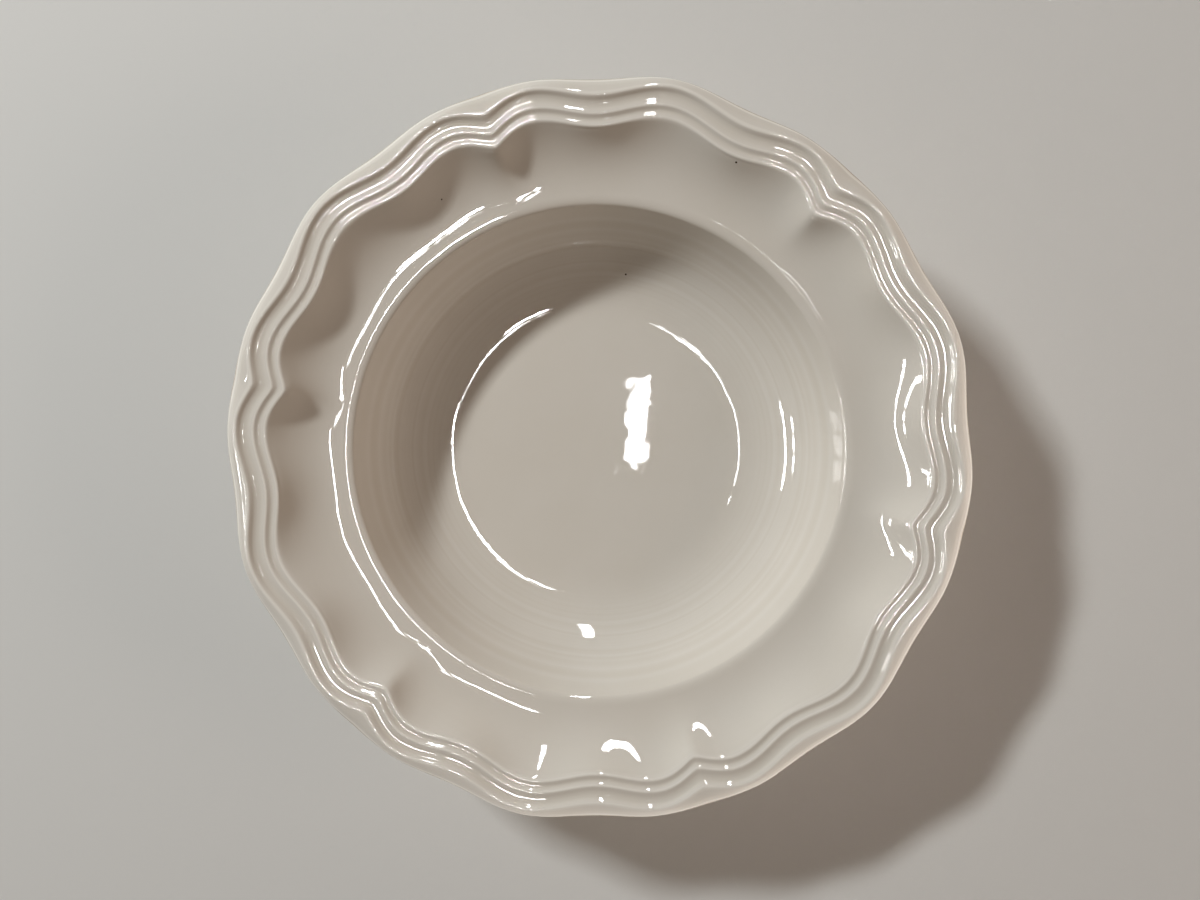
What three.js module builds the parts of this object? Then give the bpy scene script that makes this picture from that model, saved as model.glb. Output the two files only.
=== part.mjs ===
// A rim cereal bowl of glazed stoneware: a round well with a level floor, a wide flange that dishes up
// from a crisp shoulder, and a border of three beads whose outline draws in to six cusps. It stands on a
// ring foot. Millimetres, +Z up, origin at the middle of the plane that the foot stands on, one cusp on +X.
import * as THREE from 'three';
import { mergeVertices } from 'three/addons/utils/BufferGeometryUtils.js';

// Overall sizes of the finished bowl
const RIM_RADIUS = 115;
const HEIGHT = 45;

// The flange, from the edge to the shoulder, its rise, and its slopes at the shoulder and at the border.
// A reach says how far a curve keeps the slope of each of its ends, as a share of its chord.
const FLANGE_WIDTH = 36.8;
const FLANGE_RISE = 11.2;
const FLANGE_FOOT_SLOPE = 4;
const FLANGE_TOP_SLOPE = 38;
const FLANGE_REACH = [0.35, 0.42];

// The well's wall, which leaves the level floor without a corner: its run from the shoulder in to the floor,
// its slope at the shoulder, and how far the rounding of the shoulder goes down the wall and out on the flange
const WELL_RUN = 34.2;
const WALL_TOP_SLOPE = 66;
const WALL_REACH = [0.56, 0.33];
const SHOULDER_ROUND = { wall: 0.9, flange: 3.2 };

// Thickness of the fired clay in the wall and the floor, and of the glass coat on it
const WALL = 4.3;
const FLOOR = 4.8;
const GLAZE = 0.4;

// The outline repeats round the rim: from each cusp it swings out to a small hump, in to a dip and out to
// the middle of a lobe. Angles in degrees from the cusp.
const LOBES = 6;
const HUMP_ANGLE = 7.2;
const DIP_ANGLE = 17.8;

// Each line of the moulded border: how far in from the edge and how far below the rim's top it runs on a
// lobe, and how much further in the outline draws it at the dip, the hump and the cusp
const EDGE = { inset: 0, drop: 2.8, dip: 2.25, hump: 0.75, cusp: 1.0 };
const LIP_TOP = { inset: 1.1, drop: 1.0, dip: 2.9, hump: 1.0, cusp: 2.0 };
const OUTER_BEAD = { inset: 2.7, drop: 0, dip: 4.3, hump: 1.0, cusp: 4.6 };
const OUTER_GROOVE = { inset: 4.3, drop: 1.0, dip: 4.4, hump: 1.0, cusp: 4.9 };
const OUTER_COVE = { inset: 5.9, drop: 1.25, dip: 4.4, hump: 1.0, cusp: 5.1 };
const MIDDLE_BEAD = { inset: 8.0, drop: 0.9, dip: 4.3, hump: 1.0, cusp: 5.2 };
const INNER_GROOVE = { inset: 9.5, drop: 1.7, dip: 4.3, hump: 1.0, cusp: 5.3 };
const INNER_BEAD = { inset: 11.4, drop: 1.5, dip: 4.2, hump: 1.0, cusp: 5.4 };
const BEAD_FOOT = { inset: 13.2, drop: 2.5, dip: 3.6, hump: 0.8, cusp: 5.2 };

// The rounded underside of the lip, in the same terms
const LIP_UNDER = { inset: 1.3, drop: 4.5, dip: 2.3, hump: 0.7, cusp: 1.1 };
const LIP_BACK = { inset: 4.6, drop: 5.3, dip: 2.6, hump: 0.6, cusp: 1.8 };

// The cusps' creases widen and die away down the flange, and the waves between them die away sooner
const CUSP_BLUNT = 0.6;
const CREASE_BLUNT = 2.6;
const CREASE_FADE = 1.4;
const WAVE_FADE = 1.8;

// The ring foot: how far it stands out past the level floor, its width, the rounding of its edges, the
// recess inside it, the fillets at its top, and the height up to which its clay stays bare
const FOOT_OUT = 9.4;
const FOOT_WIDTH = 5.2;
const FOOT_EDGE_ROUND = 0.9;
const FOOT_RECESS = 3.6;
const FOOT_FILLET = 1.6;
const BARE_HEIGHT = 1.5;

// Columns of facets round the scalloped rim and round the circular well and foot
const RIM_COLUMNS = 96;
const WELL_COLUMNS = RIM_COLUMNS / 2;

// The clay lies one coat of glaze inside the finished sizes
const CLAY_RIM = RIM_RADIUS - GLAZE;
const CLAY_TOP = HEIGHT - GLAZE;
const SHOULDER_RADIUS = RIM_RADIUS - FLANGE_WIDTH;
const FLOOR_RADIUS = SHOULDER_RADIUS - WELL_RUN;
const FOOT_OUTER = FLOOR_RADIUS + FOOT_OUT;
const FOOT_INNER = FOOT_OUTER - FOOT_WIDTH;
const ROUND = { dip: 0, hump: 0, cusp: 0 };

const radians = THREE.MathUtils.degToRad;
const lerp = THREE.MathUtils.lerp;
const ease = (share) => (1 - Math.cos(Math.PI * share)) / 2;
const point = (radius, height) => new THREE.Vector2(radius, height);
const borderPoint = (line) => point(CLAY_RIM - line.inset, CLAY_TOP - line.drop);

// How far the outline draws a line in towards the axis at an angle round the rim
function drawIn(angle, { dip, hump, cusp, blunt = CUSP_BLUNT }) {
  const lobeAngle = 180 / LOBES;
  const degrees = THREE.MathUtils.radToDeg(angle);
  const fromCusp = Math.abs(degrees - 2 * lobeAngle * Math.round(degrees / (2 * lobeAngle)));
  if (fromCusp >= DIP_ANGLE) {
    return dip * ease((lobeAngle - fromCusp) / (lobeAngle - DIP_ANGLE));
  }
  if (fromCusp >= HUMP_ANGLE) {
    return lerp(hump, dip, ease((fromCusp - HUMP_ANGLE) / (DIP_ANGLE - HUMP_ANGLE)));
  }
  const blunted = (Math.hypot(fromCusp, blunt) - blunt) / (Math.hypot(HUMP_ANGLE, blunt) - blunt);
  return lerp(cusp, hump, Math.sin((Math.PI / 2) * blunted));
}

// One closed ring of points round the axis through a point of the profile
function ring(profilePoint, outline = ROUND, columns = WELL_COLUMNS) {
  return Array.from({ length: columns }, (_, column) => {
    const angle = (2 * Math.PI * column) / columns;
    const radius = profilePoint.x - drawIn(angle, outline);
    return new THREE.Vector3(radius * Math.cos(angle), radius * Math.sin(angle), profilePoint.y);
  });
}

const rimRing = (profilePoint, outline) => ring(profilePoint, outline, RIM_COLUMNS);
const pole = (height) => [new THREE.Vector3(0, 0, height)];

// The triangles, three points each, of a skin through rings, facing out where the rings run from the top of
// the axis over the rim and back under the bowl
function skin(rings) {
  const triangles = [];
  for (let row = 0; row + 1 < rings.length; row += 1) {
    const [near, far] = [rings[row], rings[row + 1]];
    const columns = Math.max(near.length, far.length);
    const pick = (ring, column) => ring[Math.floor((column * ring.length) / columns) % ring.length];
    for (let column = 0; column < columns; column += 1) {
      const [nearPoint, nearNext] = [pick(near, column), pick(near, column + 1)];
      const [farPoint, farNext] = [pick(far, column), pick(far, column + 1)];
      if (farPoint !== farNext) {
        triangles.push(nearPoint, farPoint, farNext);
      }
      if (nearPoint !== nearNext) {
        triangles.push(nearPoint, farNext, nearNext);
      }
    }
  }
  return triangles;
}

// The direction out of a skin at each of its points, from the faces that meet there
function outwardDirections(triangles) {
  const directions = new Map();
  for (let first = 0; first < triangles.length; first += 3) {
    const corners = triangles.slice(first, first + 3);
    const [a, b, c] = corners;
    const face = new THREE.Vector3().crossVectors(b.clone().sub(a), c.clone().sub(a));
    for (const corner of corners) {
      const sum = directions.get(corner) ?? new THREE.Vector3();
      directions.set(corner, sum.add(face));
    }
  }
  return directions;
}

// A closed solid from the triangles of its whole surface
function solid(triangles) {
  const geometry = mergeVertices(new THREE.BufferGeometry().setFromPoints(triangles));
  geometry.computeVertexNormals();
  return geometry;
}

// A curve of the profile between two points, with a given slope and reach at each end
function sweep(start, startSlope, end, endSlope, [startReach, endReach]) {
  const chord = start.distanceTo(end);
  const heading = (slope) => point(Math.cos(radians(slope)), Math.sin(radians(slope)));
  const leave = start.clone().addScaledVector(heading(startSlope), startReach * chord);
  const arrive = end.clone().addScaledVector(heading(endSlope), -endReach * chord);
  return new THREE.CubicBezierCurve(start, leave, arrive, end);
}

// A point that lies a distance along a curve from its start, or from its end when negative
function pointAlong(curve, distance) {
  const share = distance / curve.getLength();
  return curve.getPointAt(share < 0 ? 1 + share : share);
}

// The point of the clay's underside that lies one wall below a point of a curve
function pointUnder(curve, share) {
  const along = curve.getTangentAt(share);
  return curve.getPointAt(share).add(point(along.y, -along.x).multiplyScalar(WALL));
}

// A point half way round the rounding of a corner
const rounded = (from, corner, to) => new THREE.QuadraticBezierCurve(from, corner, to).getPoint(0.5);

// The curves of the well's wall and of the flange, which meet at the shoulder
const shoulder = point(SHOULDER_RADIUS, CLAY_TOP - FLANGE_RISE);
const floorEnd = point(FLOOR_RADIUS, FOOT_RECESS + FLOOR);
const wall = sweep(floorEnd, 0, shoulder, WALL_TOP_SLOPE, WALL_REACH);
const flange = sweep(shoulder, FLANGE_FOOT_SLOPE, borderPoint(BEAD_FOOT), FLANGE_TOP_SLOPE, FLANGE_REACH);

// The outline that the border's foot passes on down the flange, at a share of the way up from the shoulder
function flangeOutline(share) {
  return {
    dip: BEAD_FOOT.dip * share ** WAVE_FADE,
    hump: BEAD_FOOT.hump * share ** WAVE_FADE,
    cusp: BEAD_FOOT.cusp * share ** CREASE_FADE,
    blunt: lerp(CREASE_BLUNT, CUSP_BLUNT, share),
  };
}

// The rings of the well, from the middle of the floor to just over the shoulder
function wellRings() {
  const wallTop = pointAlong(wall, -SHOULDER_ROUND.wall);
  const flangeFoot = pointAlong(flange, SHOULDER_ROUND.flange);
  const upTheWall = [0, 0.18, 0.34, 0.5, 0.66, 0.82];
  const profile = [
    ...upTheWall.map((share) => wall.getPointAt(share)),
    wallTop,
    rounded(wallTop, shoulder, flangeFoot),
    flangeFoot,
  ];
  return [pole(floorEnd.y), ...profile.map((profilePoint) => ring(profilePoint))];
}

// The rings of the flange, of the three crisp beads with the coves between them, and of the lip
function rimRings() {
  const upTheFlange = [0.34, 0.64, 0.86];
  const flangeRing = (share) => rimRing(flange.getPointAt(share), flangeOutline(share));
  const line = (outline) => rimRing(borderPoint(outline), outline);
  return [
    ...upTheFlange.map(flangeRing),
    line(BEAD_FOOT),
    line(INNER_BEAD),
    line(INNER_GROOVE),
    line(MIDDLE_BEAD),
    line(OUTER_COVE),
    line(OUTER_GROOVE),
    line(OUTER_BEAD),
    line(LIP_TOP),
    line(EDGE),
    line(LIP_UNDER),
    line(LIP_BACK),
  ];
}

// The rings of the underside, from the back of the border down to where the glaze stops on the foot. They
// lie under these shares of the way up the flange and the wall.
function undersideRings() {
  const [borderShare, flangeShare] = [0.86, 0.45];
  const [highShare, footShare] = [0.76, 0.28];
  const downTheWall = [0.6, 0.44];
  const flangeBack = pointUnder(flange, flangeShare);
  const wallBack = pointUnder(wall, highShare);
  const corner = point(pointUnder(wall, 1).x, pointUnder(flange, 0).y);
  const footTop = pointUnder(wall, footShare);
  return [
    rimRing(pointUnder(flange, borderShare), flangeOutline(borderShare)),
    ring(flangeBack),
    ring(rounded(flangeBack, corner, wallBack)),
    ring(wallBack),
    ...downTheWall.map((share) => ring(pointUnder(wall, share))),
    ring(footTop),
    ring(point(FOOT_OUTER, footTop.y - FOOT_FILLET * 0.75)),
    ring(point(FOOT_OUTER, BARE_HEIGHT)),
  ];
}

// The bare rings of the foot, round the flat land that it stands on
function landRings() {
  return [
    ring(point(FOOT_OUTER, FOOT_EDGE_ROUND)),
    ring(point(FOOT_OUTER - FOOT_EDGE_ROUND, 0)),
    ring(point(FOOT_INNER + FOOT_EDGE_ROUND, 0)),
    ring(point(FOOT_INNER, FOOT_EDGE_ROUND)),
  ];
}

// The rings of the recess inside the foot, from where its glaze starts to the middle of the base
function recessRings() {
  return [
    ring(point(FOOT_INNER, BARE_HEIGHT)),
    ring(point(FOOT_INNER, FOOT_RECESS - FOOT_FILLET)),
    ring(point(FOOT_INNER - FOOT_FILLET, FOOT_RECESS)),
    pole(FOOT_RECESS),
  ];
}

// The clay body, whose skin carries the glaze everywhere but on the land of the foot
const coatRings = [...wellRings(), ...rimRings(), ...undersideRings()];
const baseRings = recessRings();
const claySkin = skin([...coatRings, ...landRings(), ...baseRings]);
const outward = outwardDirections(claySkin);

// A layer of glaze on some rings of the clay, closed along its edge on the foot
function glazeLayer(clayRings, edgeAtEnd) {
  const raised = (clayPoint) => {
    const step = outward.get(clayPoint).clone().setLength(GLAZE);
    return clayPoint.clone().add(step);
  };
  const glazeRings = clayRings.map((row) => row.map(raised));
  const edge = edgeAtEnd ? [glazeRings.at(-1), clayRings.at(-1)] : [clayRings[0], glazeRings[0]];
  return solid([...skin(glazeRings), ...skin(clayRings).toReversed(), ...skin(edge)]);
}

const glaze = new THREE.MeshStandardMaterial({ color: 0xd3ccc0, roughness: 0.12, metalness: 0 });
const stoneware = new THREE.MeshStandardMaterial({ color: 0xcdbfa8, roughness: 0.85, metalness: 0 });

function piece(name, geometry, material) {
  const mesh = new THREE.Mesh(geometry, material);
  mesh.name = name;
  return mesh;
}

const bowl = new THREE.Group();
bowl.add(piece('clay_body', solid(claySkin), stoneware));
bowl.add(piece('glaze_coat', glazeLayer(coatRings, true), glaze));
bowl.add(piece('base_glaze', glazeLayer(baseRings, false), glaze));

export default bowl;
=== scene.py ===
import math
from collections import namedtuple

import bmesh
import bpy
from bpy.props import FloatProperty, FloatVectorProperty, IntProperty, PointerProperty
from mathutils import Matrix, Vector, geometry


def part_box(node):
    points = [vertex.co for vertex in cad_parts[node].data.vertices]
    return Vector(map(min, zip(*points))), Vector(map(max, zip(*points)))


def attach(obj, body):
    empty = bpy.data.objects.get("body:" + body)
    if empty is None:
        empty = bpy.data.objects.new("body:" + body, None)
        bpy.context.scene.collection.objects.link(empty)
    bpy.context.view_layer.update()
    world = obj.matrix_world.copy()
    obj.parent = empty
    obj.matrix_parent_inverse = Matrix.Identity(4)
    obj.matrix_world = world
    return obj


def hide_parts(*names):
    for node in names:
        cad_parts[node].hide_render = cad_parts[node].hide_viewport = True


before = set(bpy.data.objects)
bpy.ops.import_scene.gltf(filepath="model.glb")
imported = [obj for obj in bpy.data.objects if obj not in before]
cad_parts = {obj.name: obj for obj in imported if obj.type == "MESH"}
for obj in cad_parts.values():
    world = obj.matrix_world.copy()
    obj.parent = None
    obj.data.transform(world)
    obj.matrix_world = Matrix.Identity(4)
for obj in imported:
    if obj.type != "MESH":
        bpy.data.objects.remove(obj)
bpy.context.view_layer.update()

bl_info = {
    "name": "Rim Cereal Bowl",
    "version": (1, 0, 0),
    "blender": (4, 5, 0),
    "location": "View3D > Sidebar > Bowl",
    "description": "A glazed stoneware rim bowl with a moulded, cusped border, turned and then scalloped",
    "category": "Add Mesh",
}

MM = 0.001
COAT_LOW, COAT_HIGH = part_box("glaze_coat")
BASE_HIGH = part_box("base_glaze")[1]

# The rim is turned in finer steps than the CAD's, so it is drawn in by this much to stay inside the CAD's box
FINER_TURNING = 0.03 * MM


def linear(hex_colour):
    """The linear RGB of an sRGB hex colour."""
    channels = [int(hex_colour[place:place + 2], 16) / 255 for place in (1, 3, 5)]
    return tuple(c / 12.92 if c <= 0.04045 else ((c + 0.055) / 1.055) ** 2.4 for c in channels)


def length(name, description, default):
    """A size in metres that a user may change."""
    return FloatProperty(name=name, description=description, default=default, min=0,
                         unit="LENGTH", precision=5)


def colour(name, description, default):
    """A finish's colour, given as an sRGB hex value."""
    return FloatVectorProperty(name=name, description=description, default=linear(default),
                               subtype="COLOR", size=3, min=0, max=1)


class BowlSizes(bpy.types.PropertyGroup):
    """Sizes of the finished bowl."""
    rim_radius: length("Rim Radius", "From the axis to the edge on a lobe", COAT_HIGH.y - FINER_TURNING)
    height: length("Height", "From the table to the top of the outer bead", COAT_HIGH.z)
    flange_width: length("Flange Width", "From the edge in to the shoulder", 36.8 * MM)
    flange_rise: length("Flange Rise", "From the shoulder up to the top of the rim", 11.2 * MM)
    well_run: length("Well Run", "From the shoulder in to the level floor", 34.2 * MM)
    wall: length("Wall", "Thickness of the fired clay", 4.3 * MM)
    floor: length("Floor", "Thickness of the clay between the well and the foot's recess", 4.8 * MM)
    glaze: length("Glaze", "Thickness of the glass coat", 0.4 * MM)
    foot_out: length("Foot Stand-out", "How far the foot stands out past the level floor", 9.4 * MM)
    foot_inner: length("Foot Inner Radius", "Inner radius of the ring foot", BASE_HIGH.x)
    foot_recess: length("Foot Recess", "Depth of the recess inside the foot", BASE_HIGH.z)
    bare_height: length("Bare Height", "How far up the foot the clay stays bare", COAT_LOW.z)
    segments: IntProperty(name="Segments", description="Steps of the turning round the axis",
                          default=408, min=48, max=960)


class BowlFinish(bpy.types.PropertyGroup):
    """Colours of the glaze, the bare clay and the stage."""
    glaze: colour("Glaze", "Warm off-white of the full coat", "#dbd4ca")
    thin: colour("Thin Glaze", "Glaze run thin over the edge, with the clay showing through", "#b8a48f")
    # Painted highlight: the crests of the beads, and a band on the lip, are lightened to stand in for the
    # glints on them
    painted_crest_highlight: colour("Crest", "Glaze drawn a little thin over the beads", "#eae4da")
    # A darker tone where the depth share is high: in the grooves and the foot's inner corners
    pool: colour("Pool", "Glaze gathered in the grooves", "#c9c0b0")
    speck: colour("Speck", "Iron specks burnt into the glaze", "#4b3a2c")
    clay: colour("Clay", "Bare fired stoneware", "#c9b89e")
    clay_dark: colour("Clay Grain", "Darker grains and toasting of the bare stoneware", "#a08766")
    paper: colour("Floor", "Pale floor under the bowl", "#d8d6d2")


# One line of the moulded border on a lobe, in millimetres: how far in from the edge and how far below the
# rim's top it runs, how much further in the outline draws it at the dip, the hump and the cusp, the way
# that the profile runs through it, in degrees, how far it keeps that way, as a share of the step to the next
# line, and the share of full depth that the glaze has there. That share also picks the colour: the low shares
# on the crests and the lip paint a highlight there, and the high shares in the grooves give a darker tone
Line = namedtuple("Line", "inset drop dip hump cusp slope reach depth")
BEAD_FOOT = Line(13.2, 2.5, 3.6, 0.8, 5.2, 38, 0.4, 0.5)
INNER_BEAD = Line(11.4, 1.4, 4.2, 1.0, 5.4, 10, 0.25, 0.38)
INNER_GROOVE = Line(9.5, 1.55, 4.3, 1.0, 5.3, 8, 0.4, 0.58)
MIDDLE_BEAD = Line(8.0, 0.9, 4.3, 1.0, 5.2, 12, 0.2, 0.38)
OUTER_COVE = Line(5.9, 1.15, 4.4, 1.0, 5.1, 0, 0.4, 0.55)
OUTER_GROOVE = Line(4.3, 0.9, 4.4, 1.0, 4.9, 18, 0.4, 0.58)
OUTER_BEAD = Line(2.7, 0.0, 4.3, 1.0, 4.6, 2, 0.28, 0.38)
LIP_TOP = Line(1.1, 1.0, 2.9, 1.0, 2.0, -42, 0.4, 0.5)
EDGE = Line(0.0, 2.8, 2.25, 0.75, 1.0, -90, 0.4, 0.04)
LIP_UNDER = Line(1.3, 4.5, 2.3, 0.7, 1.1, -140, 0.4, 0.4)
LIP_BACK = Line(4.6, 5.3, 2.6, 0.6, 1.8, -172, 0.4, 0.5)
BORDER = (BEAD_FOOT, INNER_BEAD, INNER_GROOVE, MIDDLE_BEAD, OUTER_COVE, OUTER_GROOVE, OUTER_BEAD, LIP_TOP,
          EDGE, LIP_UNDER, LIP_BACK)

# The outline round the rim: lobes, the angles of the hump and the dip from the cusp and the blunting of cusp
# and crease, in degrees, and the powers by which waves and creases fade down the flange
LOBES = 6
HUMP_ANGLE = 7.2
DIP_ANGLE = 17.8
CUSP_BLUNT = 0.6
CREASE_BLUNT = 2.6
CREASE_FADE = 1.4
WAVE_FADE = 1.8

# Slopes of the profile in degrees, the size of its roundings in metres, and how far a curve keeps the slope
# of each end, as shares of its chord
FLANGE_FOOT_SLOPE = 4
FLANGE_TOP_SLOPE = 38
WALL_TOP_SLOPE = 66
SHOULDER_ROUND = (0.9 * MM, 3.2 * MM)
FOOT_ROUND = 0.9 * MM
FOOT_FILLET = 1.6 * MM
FOOT_SHOULDER_DROP = 0.4 * MM
FLANGE_REACH = (0.35, 0.42)
WALL_REACH = (0.56, 0.33)

# How finely each stretch of the profile is stepped
CURVE_STEPS = 60
FLOOR_SHARES = (0, 0.25, 0.5, 0.75, 0.92)
WALL_ROWS = 36
SHOULDER_STEPS = 14
FLANGE_ROWS = 20
BORDER_STEPS = 8
LIP_BACK_STEPS = 6
FLANGE_BACK_ROWS = 8
TURN_STEPS = 10
WALL_BACK_ROWS = 12
FILLET_STEPS = 8
GLAZE_EDGE_STEPS = 8
LAND_ROUND_ROWS = 7
LAND_SHARES = (0.25, 0.5, 0.75)
RECESS_SHARES = (0.1, 0.3, 0.6, 1)

# One row of the profile: its place, the outline that scallops it, and the glaze's depth and cover there. The
# depth also picks the colour, with the painted highlight on the crests
Row = namedtuple("Row", "place outline depth cover")
ROUND = (0.0, 0.0, 0.0, CUSP_BLUNT)
FULL_DEPTH = 0.5
FILLET_DEPTH = 0.7
ROLL_DEPTH = 0.8


def heading(slope):
    """The unit step along the profile at a slope in degrees, as radius and height."""
    return Vector((math.cos(math.radians(slope)), math.sin(math.radians(slope))))


def mix(start, end, share):
    """A value or tuple of values part of the way from one to another."""
    if isinstance(start, tuple):
        return tuple(mix(a, b, share) for a, b in zip(start, end))
    return start + (end - start) * share


def ease(share):
    """A share that leaves 0 and meets 1 gently."""
    return (1 - math.cos(math.pi * share)) / 2


def bend(start, start_slope, end, end_slope, reach, steps):
    """Points of a curve between two points of the profile, with a given slope and reach at each end."""
    chord = (end - start).length
    leave = start + heading(start_slope) * chord * reach[0]
    arrive = end - heading(end_slope) * chord * reach[1]
    return geometry.interpolate_bezier(start, leave, arrive, end, steps + 1)


def rounding(start, corner, end, steps):
    """Points round a corner of the profile."""
    leave, arrive = start.lerp(corner, 2 / 3), end.lerp(corner, 2 / 3)
    return geometry.interpolate_bezier(start, leave, arrive, end, steps + 1)


class Path2:
    """A curve of the profile that can be read by the length along it."""

    def __init__(self, points):
        self.points = points
        self.marks = [0.0]
        for near, far in zip(points, points[1:]):
            self.marks.append(self.marks[-1] + (far - near).length)
        self.total = self.marks[-1]

    def at(self, share):
        """The point and the direction of the curve at a share of its length."""
        wanted = min(max(share, 0.0), 1.0) * self.total
        place = 1
        while place + 1 < len(self.marks) and self.marks[place] < wanted:
            place += 1
        near, far = self.points[place - 1], self.points[place]
        step = (wanted - self.marks[place - 1]) / (self.marks[place] - self.marks[place - 1])
        return near.lerp(far, step), (far - near).normalized()

    def point(self, share):
        """The point of the curve at a share of its length."""
        return self.at(share)[0]

    def under(self, share, depth):
        """The point that lies a depth under the curve, on its right-hand side."""
        place, way = self.at(share)
        return place + Vector((way.y, -way.x)) * depth


def steps_between(first, last, count):
    """Evenly spaced shares from the first to the last."""
    return [mix(first, last, step / (count - 1)) for step in range(count)]


def draw_in(angle, dip, hump, cusp, blunt):
    """How far the outline draws a line in towards the axis, at an angle in degrees round the rim."""
    lobe_angle = 180 / LOBES
    from_cusp = abs(angle - 2 * lobe_angle * round(angle / (2 * lobe_angle)))
    if from_cusp >= DIP_ANGLE:
        return dip * ease((lobe_angle - from_cusp) / (lobe_angle - DIP_ANGLE))
    if from_cusp >= HUMP_ANGLE:
        return mix(hump, dip, ease((from_cusp - HUMP_ANGLE) / (DIP_ANGLE - HUMP_ANGLE)))
    blunted = (math.hypot(from_cusp, blunt) - blunt) / (math.hypot(HUMP_ANGLE, blunt) - blunt)
    return mix(cusp, hump, math.sin(math.pi / 2 * blunted))


def line_outline(dip, hump, cusp):
    """The outline of a line of the border, from its shifts in millimetres."""
    return dip * MM, hump * MM, cusp * MM, CUSP_BLUNT


class Profile:
    """The clay's profile, from the middle of the floor over the rim and down to the foot."""

    def __init__(self, sizes):
        self.sizes = sizes
        self.rim = sizes.rim_radius - sizes.glaze
        self.top = sizes.height - sizes.glaze
        shoulder_radius = sizes.rim_radius - sizes.flange_width
        self.shoulder = Vector((shoulder_radius, self.top - sizes.flange_rise))
        self.floor = Vector((shoulder_radius - sizes.well_run, sizes.foot_recess + sizes.floor))
        self.foot_outer = self.floor.x + sizes.foot_out
        self.wall = Path2(bend(self.floor, 0, self.shoulder, WALL_TOP_SLOPE, WALL_REACH, CURVE_STEPS))
        self.flange = Path2(bend(self.shoulder, FLANGE_FOOT_SLOPE, self.line_place(BEAD_FOOT),
                                 FLANGE_TOP_SLOPE, FLANGE_REACH, CURVE_STEPS))
        self.flange_start = SHOULDER_ROUND[1] / self.flange.total

    def line_place(self, line):
        """Where a line of the border crosses the profile of a lobe."""
        return Vector((self.rim - line.inset * MM, self.top - line.drop * MM))

    def flange_outline(self, share):
        """The outline that the border's foot passes on down the flange."""
        wave, crease = share ** WAVE_FADE * MM, share ** CREASE_FADE * MM
        return (BEAD_FOOT.dip * wave, BEAD_FOOT.hump * wave, BEAD_FOOT.cusp * crease,
                mix(CREASE_BLUNT, CUSP_BLUNT, share))

    def well(self):
        """Rows from the middle of the floor to just over the shoulder."""
        high = 1 - SHOULDER_ROUND[0] / self.wall.total
        wall_top = self.wall.point(high)
        flange_foot = self.flange.point(self.flange_start)
        centre = Vector((0, self.floor.y))
        points = [centre.lerp(self.floor, share) for share in FLOOR_SHARES]
        points += [self.wall.point(share) for share in steps_between(0, high, WALL_ROWS)[:-1]]
        points += rounding(wall_top, self.shoulder, flange_foot, SHOULDER_STEPS)
        return [Row(point, ROUND, FULL_DEPTH, 1) for point in points]

    def flange_face(self):
        """Rows of the flange, up to the foot of the border."""
        shares = steps_between(self.flange_start, 1, FLANGE_ROWS)[1:-1]
        return [Row(self.flange.point(share), self.flange_outline(share), FULL_DEPTH, 1) for share in shares]

    def border(self):
        """Rows of the beads and grooves, the lip and its back."""
        rows = []
        for near, far in zip(BORDER, BORDER[1:]):
            places = bend(self.line_place(near), near.slope, self.line_place(far), far.slope,
                          (near.reach, far.reach), BORDER_STEPS)
            for step, place in enumerate(places[:-1]):
                share = ease(step / BORDER_STEPS)
                shift = mix((near.dip, near.hump, near.cusp), (far.dip, far.hump, far.cusp), share)
                rows.append(Row(place, line_outline(*shift), mix(near.depth, far.depth, share), 1))
        return rows

    def underside(self):
        """Rows from the back of the lip down to where the glaze stops on the foot."""
        wall, flange, clay = self.wall, self.flange, self.sizes.wall
        back_share, turn_share, wall_share, foot_share = 0.86, 0.45, 0.76, 0.28

        lip_outline = line_outline(LIP_BACK.dip, LIP_BACK.hump, LIP_BACK.cusp)
        way_in = math.degrees(math.atan2(*reversed(flange.at(back_share)[1]))) + 180
        lip_back = bend(self.line_place(LIP_BACK), LIP_BACK.slope, flange.under(back_share, clay), way_in,
                        FLANGE_REACH, LIP_BACK_STEPS)
        rows = []
        for step, place in enumerate(lip_back[:-1]):
            outline = mix(lip_outline, self.flange_outline(back_share), step / LIP_BACK_STEPS)
            rows.append(Row(place, outline, FULL_DEPTH, 1))
        for share in steps_between(back_share, turn_share, FLANGE_BACK_ROWS)[:-1]:
            rows.append(Row(flange.under(share, clay), self.flange_outline(share), FULL_DEPTH, 1))

        corner = Vector((wall.under(1, clay).x, flange.under(0, clay).y))
        turn = rounding(flange.under(turn_share, clay), corner, wall.under(wall_share, clay), TURN_STEPS)
        for step, place in enumerate(turn[:-1]):
            outline = mix(self.flange_outline(turn_share), ROUND, step / TURN_STEPS)
            rows.append(Row(place, outline, FULL_DEPTH, 1))
        for share in steps_between(wall_share, foot_share, WALL_BACK_ROWS)[:-1]:
            rows.append(Row(wall.under(share, clay), ROUND, FULL_DEPTH, 1))

        foot_top = wall.under(foot_share, clay)
        foot_corner = Vector((self.foot_outer, foot_top.y - FOOT_SHOULDER_DROP))
        foot_side = foot_corner - Vector((0, FOOT_FILLET / 2))
        rows += self.fillet(foot_top, foot_corner, foot_side)
        return rows + self.glaze_edge(foot_side, Vector((self.foot_outer, self.sizes.bare_height)))

    def fillet(self, start, corner, end):
        """Rows round an inner corner of the foot, where the glaze gathers."""
        places = rounding(start, corner, end, FILLET_STEPS)
        return [Row(place, ROUND, FILLET_DEPTH, 1) for place in places]

    def glaze_edge(self, start, end):
        """Rows over which the glaze gathers in a roll and stops."""
        shares = [step / GLAZE_EDGE_STEPS for step in range(1, GLAZE_EDGE_STEPS + 1)]
        return [Row(start.lerp(end, share), ROUND, ROLL_DEPTH, math.sqrt(max(0, 1 - share ** 4)))
                for share in shares]

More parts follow.
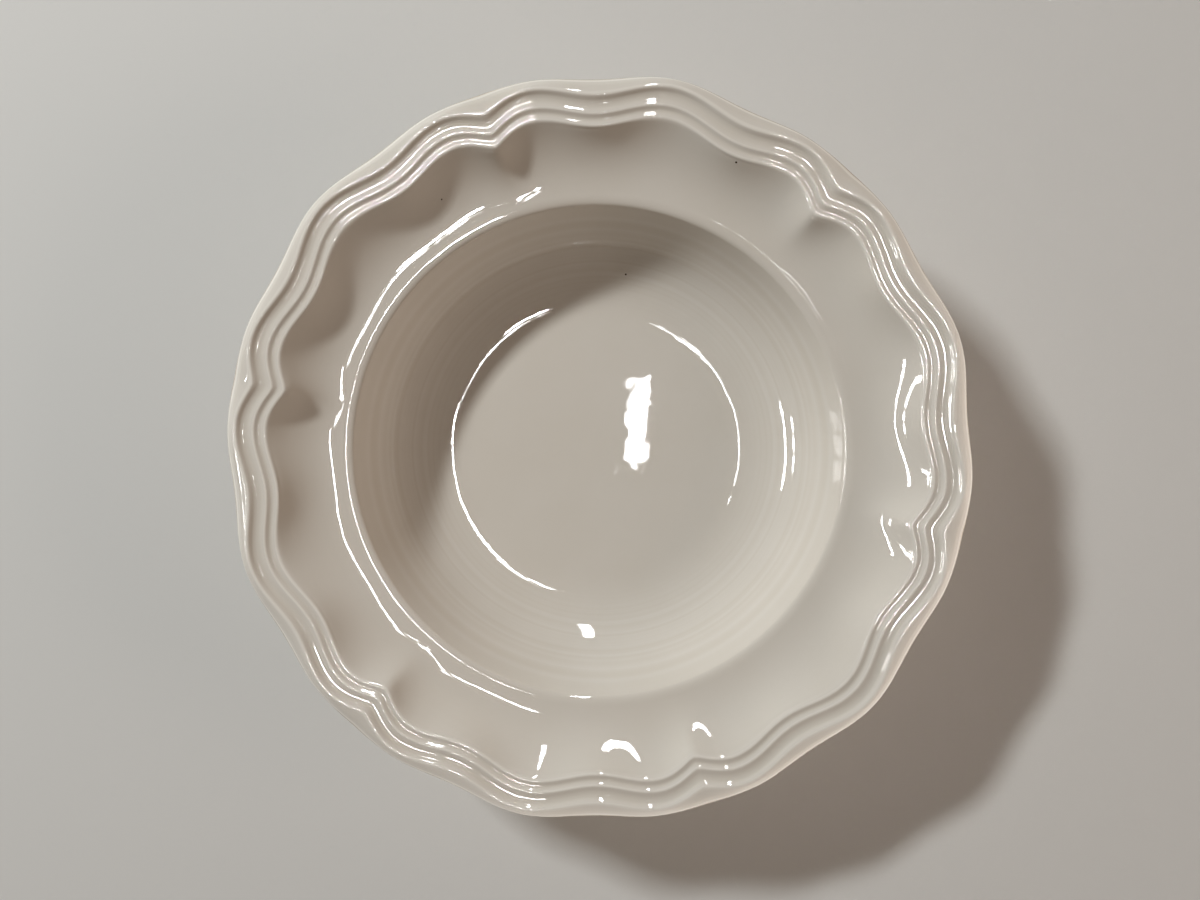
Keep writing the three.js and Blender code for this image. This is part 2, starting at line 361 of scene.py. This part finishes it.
    def land(self):
        """Rows of the bare foot, round the flat that it stands on."""
        outer, inner = self.foot_outer, self.sizes.foot_inner
        quarter = steps_between(0, math.pi / 2, LAND_ROUND_ROWS)
        outside = [Vector((outer - FOOT_ROUND * (1 - math.cos(turn)), FOOT_ROUND * (1 - math.sin(turn))))
                   for turn in quarter]
        inside = [Vector((inner + FOOT_ROUND * (1 - math.sin(turn)), FOOT_ROUND * (1 - math.cos(turn))))
                  for turn in quarter]
        middle = [outside[-1].lerp(inside[0], share) for share in LAND_SHARES]
        return [Row(place, ROUND, FULL_DEPTH, 0) for place in outside + middle + inside]

    def recess(self):
        """Rows inside the foot, from where its glaze starts to the middle of the base."""
        inner, recess = self.sizes.foot_inner, self.sizes.foot_recess
        start = Vector((inner, self.sizes.bare_height))
        side_top = Vector((inner, recess - FOOT_FILLET))
        flat = Vector((inner - FOOT_FILLET, recess))
        centre = Vector((0, recess))
        rows = self.glaze_edge(side_top, start)[::-1]
        rows += self.fillet(side_top, Vector((inner, recess)), flat)
        return rows + [Row(flat.lerp(centre, share), ROUND, FULL_DEPTH, 1) for share in RECESS_SHARES]

    def covered(self):
        """Rows of all the clay that the coat of glaze covers."""
        return self.well() + self.flange_face() + self.border() + self.underside()


def raised(rows, thickness):
    """The rows moved out from the clay by a thickness, times each row's cover."""
    moved = []
    for place, row in enumerate(rows):
        before, after = rows[max(place - 1, 0)].place, rows[min(place + 1, len(rows) - 1)].place
        way = (after - before).normalized()
        moved.append(row._replace(place=row.place + Vector((-way.y, way.x)) * thickness * row.cover))
    return moved


def thinned(rows, keep_every):
    """Every so many rows, with the first and the last."""
    return rows[:-1:keep_every] + [rows[-1]]


def turned_piece(name, rows, segments):
    """A closed piece turned from rows that start and end on the axis, then drawn in by its outline."""
    bm = bmesh.new()
    keys = ("dip", "hump", "cusp", "blunt")
    layers = [bm.verts.layers.float.new(key) for key in keys]
    # The depth share goes on the mesh; the glaze's colour ramp reads it and paints the crest highlight from
    # it
    depth_and_highlight_layer = bm.verts.layers.float.new("glaze_depth_and_crest_highlight")
    chain = []
    for row in rows:
        vert = bm.verts.new((max(row.place.x, 0), 0, row.place.y))
        for layer, value in zip(layers, row.outline):
            vert[layer] = value
        vert[depth_and_highlight_layer] = row.depth
        chain.append(vert)
    edges = [bm.edges.new(pair) for pair in zip(chain, chain[1:])]
    bmesh.ops.spin(bm, geom=chain + edges, cent=(0, 0, 0), axis=(0, 0, 1), dvec=(0, 0, 0),
                   angle=2 * math.pi, steps=segments, use_merge=True, use_duplicate=False)
    bmesh.ops.remove_doubles(bm, verts=bm.verts, dist=0.001 * MM)
    for vert in bm.verts:
        outline = [vert[layer] for layer in layers]
        radius = vert.co.xy.length
        if radius and any(outline[:3]):
            shift = draw_in(math.degrees(math.atan2(vert.co.y, vert.co.x)), *outline)
            vert.co.xy *= (radius - shift) / radius
    bmesh.ops.recalc_face_normals(bm, faces=bm.faces)
    piece = linked_mesh(name, bm)
    mesh = piece.data
    for key in keys:
        mesh.attributes.remove(mesh.attributes[key])
    mesh.polygons.foreach_set("use_smooth", [True] * len(mesh.polygons))
    return piece


def linked_mesh(name, bm):
    """A new object in the scene, with the mesh that was made."""
    mesh = bpy.data.meshes.new(name)
    bm.to_mesh(mesh)
    bm.free()
    piece = bpy.data.objects.new(name, mesh)
    bpy.context.scene.collection.objects.link(piece)
    return piece


def add(tree, kind, inputs=None, **settings):
    """Adds a node with its settings, and sets or links its inputs."""
    node = tree.nodes.new(kind)
    for name, value in settings.items():
        setattr(node, name, value)
    for socket, value in (inputs or {}).items():
        if isinstance(value, bpy.types.NodeSocket):
            tree.links.new(value, node.inputs[socket])
        else:
            node.inputs[socket].default_value = value
    return node


def blank_material(name):
    """A material with nothing but its output."""
    material = bpy.data.materials.new(name)
    material.use_nodes = True
    material.node_tree.nodes.clear()
    return material, material.node_tree


def opaque(rgb):
    """A colour with full alpha."""
    return (*rgb, 1)


def noise(tree, size, detail, **inputs):
    """Noise whose features are of a size in metres."""
    return add(tree, "ShaderNodeTexNoise", {**inputs, "Scale": 1 / size, "Detail": detail},
               noise_dimensions="1D" if "W" in inputs else "3D").outputs["Fac"]


def work_out(tree, operation, *values):
    """The result of a sum of values or sockets."""
    return add(tree, "ShaderNodeMath", dict(enumerate(values)), operation=operation).outputs[0]


def blend(tree, share, below, above, way):
    """One colour blended over another. A mix node's colour sockets only have numbers of their own."""
    colours = add(tree, "ShaderNodeMix", {0: share, 6: below, 7: above}, data_type="RGBA", blend_type=way)
    return colours.outputs[2]


def smooth_step(tree, value, start, end, before, after):
    """A value that goes gently from one level to another between two places."""
    inputs = {"Value": value, "From Min": start, "From Max": end, "To Min": before, "To Max": after}
    return add(tree, "ShaderNodeMapRange", inputs, interpolation_type="SMOOTHSTEP").outputs[0]


def colour_ramp(tree, value, stops):
    """The colour at a value, between stops that each have a position and a colour."""
    ramp = add(tree, "ShaderNodeValToRGB", {"Fac": value})
    marks = ramp.color_ramp.elements
    for mark, (position, tone) in zip(marks, (stops[0], stops[-1])):
        mark.position, mark.color = position, opaque(tone)
    for position, tone in stops[1:-1]:
        marks.new(position).color = opaque(tone)
    return ramp.outputs["Color"]


def surface(tree, tone, height, distance, **settings):
    """Ends a material with a surface of a colour, raised by a height times a distance in metres."""
    bump = add(tree, "ShaderNodeBump", {"Height": height, "Distance": distance, "Strength": 1.0})
    shader = add(tree, "ShaderNodeBsdfPrincipled",
                 {"Base Color": tone, "Normal": bump.outputs["Normal"], **settings})
    add(tree, "ShaderNodeOutputMaterial", {"Surface": shader.outputs["BSDF"]})


def dipped_glaze(finish):
    """Feldspar glaze, dipped and fired glossy: a wet-looking glass over a warm body. It lies slightly wavy,
    so edges of light wobble in it, and it runs thin and warm over the edge. Its colour is darker in the
    grooves, and lighter over the crests of the beads and in a band on the lip, which is a painted highlight."""
    material, tree = blank_material("dipped_feldspar_glaze")
    place = add(tree, "ShaderNodeTexCoord").outputs["Object"]
    depth = add(tree, "ShaderNodeAttribute", attribute_name="glaze_depth_and_crest_highlight").outputs["Fac"]
    # Colour by the depth share: thin warm glaze on the edge, a painted highlight over the crests of the beads
    # and in a band on the lip, the full glaze, and a darker tone in the grooves and the foot's inner corners
    tone = colour_ramp(tree, depth, ((0.1, finish.thin), (0.26, finish.painted_crest_highlight), (0.38, finish.painted_crest_highlight),
                                     (0.41, finish.glaze), (0.95, finish.pool)))

    cloud_size, cloud_tint = 26 * MM, 0.07
    clouds = noise(tree, cloud_size, 3.0, Vector=place)
    tone = blend(tree, cloud_tint, tone, clouds, "OVERLAY")

    # Turning marks, from the floor's edge up the wall, that are nearly gone on the flange. They are bumped in
    # as real ridges; their lighter and darker rings in the colour are a painted reflection of the streaks
    # that the room makes in them
    mark_spacing, mark_height, mark_painted_reflection, mark_rest = 1.4 * MM, 0.011, 0.16, 0.05
    flat = add(tree, "ShaderNodeVectorMath", {0: place, 1: (1, 1, 0)}, operation="MULTIPLY").outputs[0]
    radius = add(tree, "ShaderNodeVectorMath", {0: flat}, operation="LENGTH").outputs["Value"]
    marks = noise(tree, mark_spacing, 2.0, W=radius)
    on_wall = smooth_step(tree, radius, 46 * MM, 66 * MM, 0.0, 1.0)
    off_wall = smooth_step(tree, radius, 74 * MM, 78 * MM, 1.0, mark_rest)
    marked = work_out(tree, "MULTIPLY", on_wall, off_wall)
    # Painted reflection: the marks lighten and darken the colour in rings
    tone = blend(tree, work_out(tree, "MULTIPLY", marked, mark_painted_reflection), tone, marks, "OVERLAY")

    speck_spacing, speck_radius = 26 * MM, 0.35 * MM
    cells = add(tree, "ShaderNodeTexVoronoi", {"Vector": place, "Scale": 1 / speck_spacing})
    speck = work_out(tree, "LESS_THAN", cells.outputs["Distance"], speck_radius / speck_spacing)
    tone = blend(tree, speck, tone, opaque(finish.speck), "MIX")

    wave_size, wave_height = 24 * MM, 0.06
    ripple_size, ripple_height = 8 * MM, 0.036
    peel_size, peel_height = 2.2 * MM, 0.0012
    relief = 0.0
    for size, height in ((wave_size, wave_height), (ripple_size, ripple_height), (peel_size, peel_height)):
        relief = work_out(tree, "MULTIPLY_ADD", noise(tree, size, 1.0, Vector=place), height, relief)
    relief = work_out(tree, "MULTIPLY_ADD", marks, work_out(tree, "MULTIPLY", marked, mark_height), relief)

    surface(tree, tone, relief, MM, Roughness=0.025, IOR=1.52)
    return material


def bare_stoneware(finish):
    """Fired stoneware wiped clean of glaze: a dry, sandy, light-drinking surface with darker grains."""
    material, tree = blank_material("bare_fired_stoneware")
    place = add(tree, "ShaderNodeTexCoord").outputs["Object"]
    grain_size, toast_size, grit_height = 0.7 * MM, 9 * MM, 0.05
    grain = noise(tree, grain_size, 4.0, Vector=place)
    toast = noise(tree, toast_size, 2.0, Vector=place)
    both = work_out(tree, "MULTIPLY", grain, toast)
    tone = colour_ramp(tree, both, ((0.12, finish.clay_dark), (0.4, finish.clay)))
    grit = work_out(tree, "MULTIPLY", grain, grit_height)
    surface(tree, tone, grit, MM, Roughness=0.85, IOR=1.5)
    return material


def studio_paper(finish):
    """Matt seamless paper: an even pale ground."""
    material, tree = blank_material("matt_studio_paper")
    place = add(tree, "ShaderNodeTexCoord").outputs["Object"]
    fibre_size, fibre_height = 3 * MM, 0.02 * MM
    fibres = noise(tree, fibre_size, 3.0, Vector=place)
    surface(tree, opaque(finish.paper), fibres, fibre_height, Roughness=0.9)
    return material


def shared_material(name, make, finish):
    """The material of that name, made the first time that it is asked for."""
    return bpy.data.materials.get(name) or make(finish)


def finish_piece(piece, material, node):
    """Gives a piece its finish and puts it in the place of its CAD node."""
    piece.data.materials.append(material)
    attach(piece, "root")
    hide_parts(node)


class BOWL_OT_clay_body(bpy.types.Operator):
    """Turn and scallop the fired clay body, whose foot stays bare"""
    bl_idname = "bowl.clay_body"
    bl_label = "Clay Body"

    def execute(self, context):
        sizes, finish = context.scene.bowl_sizes, context.scene.bowl_finish
        profile = Profile(sizes)
        # Covered clay lies this little under the glaze, so that the two don't fight for one face
        bond = -0.03 * MM
        rows = thinned(raised(profile.covered(), bond), keep_every=3)
        rows += profile.land()
        rows += thinned(raised(profile.recess(), bond), keep_every=2)
        piece = turned_piece("fired_clay_body", rows, sizes.segments // 2)
        finish_piece(piece, shared_material("bare_fired_stoneware", bare_stoneware, finish),
                     "clay_body")
        return {"FINISHED"}


class BOWL_OT_glaze_coat(bpy.types.Operator):
    """Lay the coat of glaze over the eating face, the lip and the back"""
    bl_idname = "bowl.glaze_coat"
    bl_label = "Glaze Coat"

    def execute(self, context):
        sizes, finish = context.scene.bowl_sizes, context.scene.bowl_finish
        clay = Profile(sizes).covered()
        rows = raised(clay, sizes.glaze) + thinned(clay, keep_every=5)[-2::-1]
        piece = turned_piece("glaze_over_bowl", rows, sizes.segments)
        finish_piece(piece, shared_material("dipped_feldspar_glaze", dipped_glaze, finish),
                     "glaze_coat")
        return {"FINISHED"}


class BOWL_OT_base_glaze(bpy.types.Operator):
    """Lay the patch of glaze inside the ring foot"""
    bl_idname = "bowl.base_glaze"
    bl_label = "Base Glaze"

    def execute(self, context):
        sizes, finish = context.scene.bowl_sizes, context.scene.bowl_finish
        clay = Profile(sizes).recess()
        rows = thinned(clay[::-1], keep_every=3)[:-1] + raised(clay, sizes.glaze)
        piece = turned_piece("glaze_inside_foot", rows, sizes.segments // 2)
        finish_piece(piece, shared_material("dipped_feldspar_glaze", dipped_glaze, finish),
                     "base_glaze")
        return {"FINISHED"}


# The camera stands over a point a little right of and above the bowl's middle in the picture. The picture's
# right-hand side lies at an angle from +X, because a cusp shows a little below it.
VIEW_TURN = 12
CAMERA_OFFSET = Vector((9 * MM, 18 * MM, 316.6 * MM))
CAMERA_AIM = Vector((1.2 * MM, 1.9 * MM, 42 * MM))
CAMERA_LENS = 27.0
PICTURE_UP = (0, 1, 0)

# Half the floor's width, the height of the lamps that glint, and places on the bowl that lamps aim at, all
# in metres and in the picture's directions
FLOOR_HALF = 1.5
GLINT_HEIGHT = 2.1
BEAD_HEIGHT = 0.043
MIDDLE = (0, 0, 0.03)
LEFT_FLANGE = (-0.045, 0.012, 0.02)
UPPER_LEFT_FLANGE = (-0.045, 0.07, 0.035)
LOWER_LEFT_FLANGE = (-0.03, -0.079, 0.036)
RIGHT_FLANGE = (0.085, 0, 0.035)
UPPER_LEFT_BORDER = (-0.085, 0.07, BEAD_HEIGHT)

COOL_WHITE = "#f5fafc"
WARM_WHITE = "#ffe8d8"
ROOM_TONE = "#efe2d4"
ROOM_STRENGTH = 0.145


def picture_axes():
    """The picture's right, up and towards-the-camera directions, as columns, in the bowl's frame."""
    return Matrix.Rotation(math.radians(VIEW_TURN), 3, "Z")


def looking(place, target, up):
    """Where a camera or lamp is put to look from a place at a target, all in the picture's directions."""
    axes = picture_axes()
    spot = axes @ Vector(place)
    back = (spot - axes @ Vector(target)).normalized()
    right = (axes @ Vector(up)).cross(back).normalized()
    turn = Matrix((right, back.cross(right), back)).transposed().to_4x4()
    return Matrix.Translation(spot) @ turn


def around(turn, out, height):
    """A place at an angle in degrees from the picture's right, so far out from the axis and so high."""
    place = Matrix.Rotation(math.radians(turn), 3, "Z") @ Vector((out, 0, 0))
    place.z = height
    return place


def place_lamp(name, place, target, size, power, tone="#ffffff", spread=180, up=PICTURE_UP):
    """A rectangular lamp, placed in the picture's directions."""
    lamp = bpy.data.lights.new(name, "AREA")
    lamp.shape = "RECTANGLE"
    lamp.size, lamp.size_y = size
    lamp.energy = power
    lamp.color = linear(tone)
    lamp.spread = math.radians(spread)
    holder = bpy.data.objects.new(name, lamp)
    holder.matrix_world = looking(place, target, up)
    bpy.context.scene.collection.objects.link(holder)
    return holder


def soft_lamp(*placing, **settings):
    """A lamp that only shades the bowl."""
    place_lamp(*placing, **settings).visible_glossy = False


def glint_lamp(name, across, along, *aiming, **settings):
    """A lamp high over the bowl that only glints in the glaze."""
    place_lamp(name, (across, along, GLINT_HEIGHT), *aiming, **settings).visible_diffuse = False


def lamps_above():
    """Lamps nearly overhead, which glint in the floor of the well, the shoulder and the flange."""
    for across, along, width in ((0.047, 0.03, 0.062), (0.039, -0.044, 0.05), (0.041, -0.115, 0.036)):
        glint_lamp("overhead_strip", across, along, LEFT_FLANGE, (width, 0.075), 0.0012, spread=6)
    glint_lamp("upper_left_strip", -0.012, -0.215, UPPER_LEFT_FLANGE, (0.08, 0.06), 0.001, spread=2.2)
    for step in (-0.13, 0, 0.13):
        across, along = -0.07 + 0.656 * step, -0.12 + 0.755 * step
        glint_lamp("border_panel", across, along, UPPER_LEFT_BORDER, (0.12, 0.12), 0.0006, spread=2.5)


def soft_lamps():
    """The softboxes, of which the key is level and wide, and cards low on the right that light the border."""
    soft_lamp("key_softbox", (-1.0, 0.9, 0.95), MIDDLE, (0.3, 0.1), 22.4, COOL_WHITE, up=(0, 0, 1))
    soft_lamp("fill_softbox", (0.1, -0.1, 1.9), MIDDLE, (1.6, 1.6), 1.8, WARM_WHITE)
    soft_lamp("side_softbox", (1.3, -0.2, 0.45), MIDDLE, (0.6, 0.6), 4.4, WARM_WHITE)
    card_out, card_height, aim_out, aim_height = 0.36, 0.022, 0.11, 0.2
    for turn in (0, -45, -90):
        place, aim = around(turn, card_out, card_height), around(turn, aim_out, aim_height)
        soft_lamp("low_card", place, aim, (0.04, 0.04), 0.32, spread=80)


def lamps_around():
    """Lamps further out, which glint on the flange, the wall and the crests of the border."""
    for along in (-0.67, -0.39, -0.11, 0.17):
        glint_lamp("left_strip", -2.3, along, RIGHT_FLANGE, (0.12, 0.28), 0.0145, spread=6)
    for along in (-0.8, -0.4, 0):
        glint_lamp("far_left_strip", -3.9, along, RIGHT_FLANGE, (0.25, 0.4), 0.02, spread=5)
    for step in range(8):
        out = 0.09 * step - 0.05
        across, along = -0.69 + 0.63 * out, 0.57 + 0.77 * out
        aim = (-0.085 + 0.0065 * step, 0.07 + 0.005 * step, BEAD_HEIGHT)
        glint_lamp("upper_left_panel", across, along, aim, (0.08, 0.08), 0.0022, spread=3.5)
    for step in range(5):
        aim = (0.105, 0.02 * step - 0.05, BEAD_HEIGHT)
        glint_lamp("right_panel", 0.68, 0.2 * step - 0.5, aim, (0.1, 0.2), 0.011, spread=5)
    panel_out, border_out = 0.86, 0.105
    for turn in range(24, 60, 7):
        place, aim = around(turn, panel_out, GLINT_HEIGHT), around(turn, border_out, BEAD_HEIGHT)
        glint_lamp("upper_right_panel", place.x, place.y, aim, (0.08, 0.08), 0.0017, spread=4)
    for across, along in ((-0.6, -0.6), (-0.5, -0.72), (-0.38, -0.84), (-0.25, -0.92)):
        aim = (0.1 * across, 0.1 * along - 0.02, BEAD_HEIGHT)
        glint_lamp("lower_left_panel", across, along, aim, (0.1, 0.1), 0.0026, spread=4)
    glint_lamp("lower_left_strip", -0.02, -0.03, LOWER_LEFT_FLANGE, (0.045, 0.09), 0.00008, spread=1.6)
    glint_lamp("back_strip", 0.04, 1.75, MIDDLE, (0.1, 0.9), 20)


class BOWL_OT_stage(bpy.types.Operator):
    """Set the pale floor, the soft lamps and the camera"""
    bl_idname = "bowl.stage"
    bl_label = "Stage"

    def execute(self, context):
        scene = context.scene
        bm = bmesh.new()
        bmesh.ops.create_grid(bm, x_segments=4, y_segments=4, size=FLOOR_HALF)
        floor = linked_mesh("studio_floor", bm)
        floor.data.materials.append(studio_paper(scene.bowl_finish))

        lamps_above()
        soft_lamps()
        lamps_around()

        world = bpy.data.worlds.new("soft_studio")
        world.use_nodes = True
        ground = world.node_tree.nodes["Background"]
        ground.inputs["Color"].default_value = opaque(linear(ROOM_TONE))
        ground.inputs["Strength"].default_value = ROOM_STRENGTH
        scene.world = world
        scene.view_settings.view_transform = "Standard"

        lens = bpy.data.cameras.new("photo_camera")
        lens.sensor_width = 36
        lens.lens = CAMERA_LENS
        lens.clip_start = 0.01
        camera = bpy.data.objects.new("photo_camera", lens)
        camera.matrix_world = looking(CAMERA_OFFSET, CAMERA_AIM, PICTURE_UP)
        scene.collection.objects.link(camera)
        scene.camera = camera
        return {"FINISHED"}


class BOWL_PT_panel(bpy.types.Panel):
    """Lists the bowl's pieces, sizes and colours"""
    bl_idname = "BOWL_PT_panel"
    bl_label = "Rim Cereal Bowl"
    bl_space_type = "VIEW_3D"
    bl_region_type = "UI"
    bl_category = "Bowl"

    def draw(self, context):
        for operator in OPERATORS:
            self.layout.operator(operator.bl_idname)
        for group in (context.scene.bowl_sizes, context.scene.bowl_finish):
            column = self.layout.column(align=True)
            for name in group.__annotations__:
                column.prop(group, name)


OPERATORS = (BOWL_OT_clay_body, BOWL_OT_glaze_coat, BOWL_OT_base_glaze, BOWL_OT_stage)
CLASSES = (BowlSizes, BowlFinish, *OPERATORS, BOWL_PT_panel)


def register():
    for cls in CLASSES:
        bpy.utils.register_class(cls)
    bpy.types.Scene.bowl_sizes = PointerProperty(type=BowlSizes)
    bpy.types.Scene.bowl_finish = PointerProperty(type=BowlFinish)


def unregister():
    del bpy.types.Scene.bowl_finish
    del bpy.types.Scene.bowl_sizes
    for cls in reversed(CLASSES):
        bpy.utils.unregister_class(cls)


def main():
    register()
    bpy.ops.bowl.stage()
    bpy.ops.bowl.clay_body()
    bpy.ops.bowl.glaze_coat()
    bpy.ops.bowl.base_glaze()


if __name__ == "__main__":
    main()
